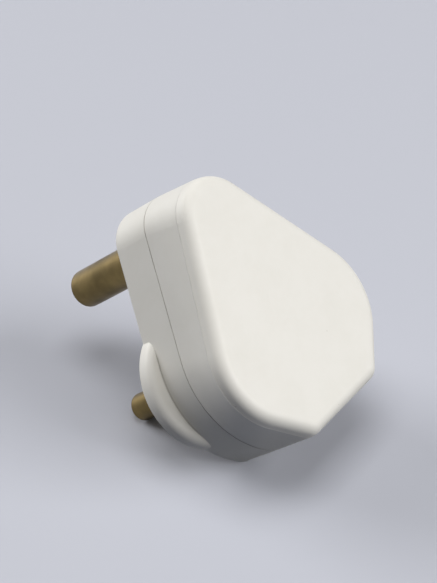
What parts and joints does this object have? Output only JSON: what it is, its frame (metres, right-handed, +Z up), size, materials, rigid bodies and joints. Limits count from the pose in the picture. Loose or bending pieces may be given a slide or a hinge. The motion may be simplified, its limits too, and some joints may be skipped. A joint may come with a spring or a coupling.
{
  "type": "round pin mains plug",
  "caption": "Shield-shaped mains plug with round brass pins: waisted white moulding split into base and cover, finger guard at the pin face, pillar terminals and a cord grip inside.",
  "frame": {"origin": "centre of the bounding box in plan, on the surface that the plug lies on", "axes": "+Z up with the plug lying on its small pins and the edge of its flat end, +Y the side that the pins point to, +X across the plug towards the line pin"},
  "size_m": [0.0402, 0.058, 0.0469],
  "materials": {
    "moulding": "moulded, satin",
    "brass": "turned, dull",
    "steel": "zinc plated",
    "fibre": "pressed fibre"
  },
  "bodies": {
    "root": {"base": "moulding", "cord_clamp_bar": "fibre", "cord_clamp_screw_left": "steel", "cord_clamp_screw_right": "steel", "cover": "moulding", "cover_insert": "brass", "cover_screw": "steel", "earth_pin": "brass", "earth_terminal_screw": "brass", "line_pin": "brass", "line_terminal_screw": "brass", "neutral_pin": "brass", "neutral_terminal_screw": "brass", "screw_retaining_washer": "fibre"}
  },
  "joints": []
}
